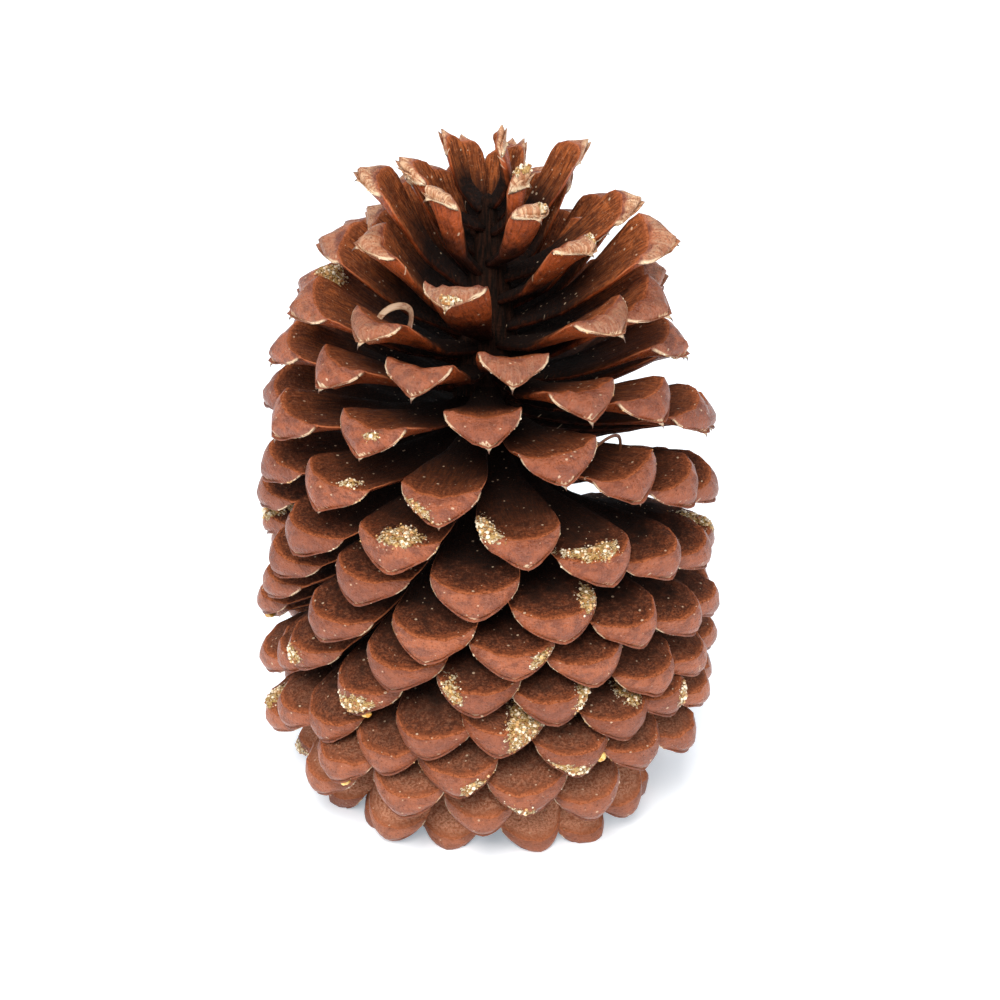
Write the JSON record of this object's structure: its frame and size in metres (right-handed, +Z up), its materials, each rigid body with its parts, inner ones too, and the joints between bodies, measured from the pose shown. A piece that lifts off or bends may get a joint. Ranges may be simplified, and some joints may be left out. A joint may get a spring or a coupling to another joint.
{
  "type": "jeffrey pine cone",
  "caption": "Ripe, open pine cone of a large-coned pine: a woody axis with overlapping prickle-tipped scales set in spirals, standing upright on its lowest scales.",
  "frame": {"origin": "middle of the cone's box on the ground, under the woody axis", "axes": "+Z up along the woody axis from base to tip; -Y is the front that the picture shows"},
  "size_m": [0.1227, 0.1213, 0.1906],
  "materials": {
    "cone_wood": "dry reddish brown cone wood, satin on the shields, dark and matt on the upper faces of the scales"
  },
  "bodies": {
    "root": {"cone": "cone_wood"}
  },
  "joints": []
}
